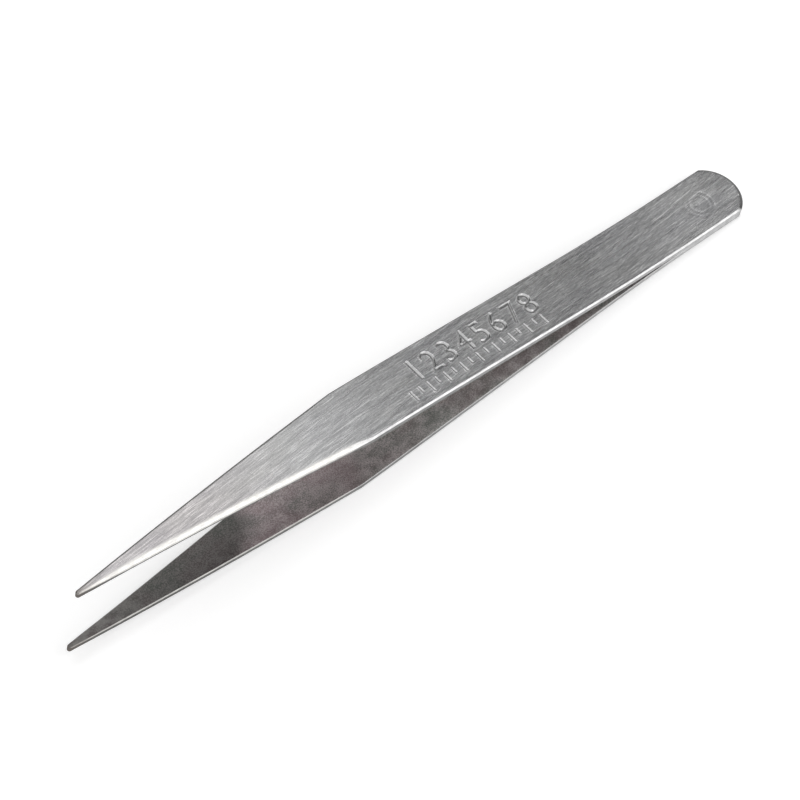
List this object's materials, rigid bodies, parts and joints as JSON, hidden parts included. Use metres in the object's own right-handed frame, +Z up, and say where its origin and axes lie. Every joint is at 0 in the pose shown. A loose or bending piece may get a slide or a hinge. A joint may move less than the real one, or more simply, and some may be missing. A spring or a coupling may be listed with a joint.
{
  "type": "precision tweezers",
  "caption": "Straight fine-point tweezers of bent steel strips spot welded at the tail; the sprung arms squeeze shut at the tips.",
  "frame": {"origin": "under the middle of the whole tool, on the surface that it lies on", "axes": "+Z up, with the tool lying on its lower arm; -X towards the tips, +X towards the welded tail; Y across the strips. The tool's own axis rises by 3.67 degrees towards the tips, because it rests on the tail's lower edge and on the lower arm's belly."},
  "size_m": [0.1252, 0.0092, 0.0159],
  "materials": {
    "upper_arm": "lengthwise brushed outside, dull rolled surface inside, bright ground edges",
    "lower_arm": "lengthwise brushed outside, dull rolled surface inside, bright ground edges",
    "weld_metal": "fused, dull"
  },
  "bodies": {
    "tail": {"upper_arm_tail": "upper_arm", "lower_arm_tail": "lower_arm", "spot_welds": "weld_metal"},
    "upper_blade": {"upper_arm_blade": "upper_arm"},
    "lower_blade": {"lower_arm_blade": "lower_arm"}
  },
  "joints": [
    {"name": "upper_arm_flex", "type": "hinge", "parent": "tail", "child": "upper_blade", "pos_m": [0.04461, 0, 0.00227], "axis": [0, -1, 0], "range_deg": [0, 3.16], "stiffness_Nm_per_rad": 3},
    {"name": "lower_arm_flex", "type": "hinge", "parent": "tail", "child": "lower_blade", "pos_m": [0.04459, 0, 0.002], "axis": [0, 1, 0], "range_deg": [0, 3.16], "stiffness_Nm_per_rad": 3}
  ]
}
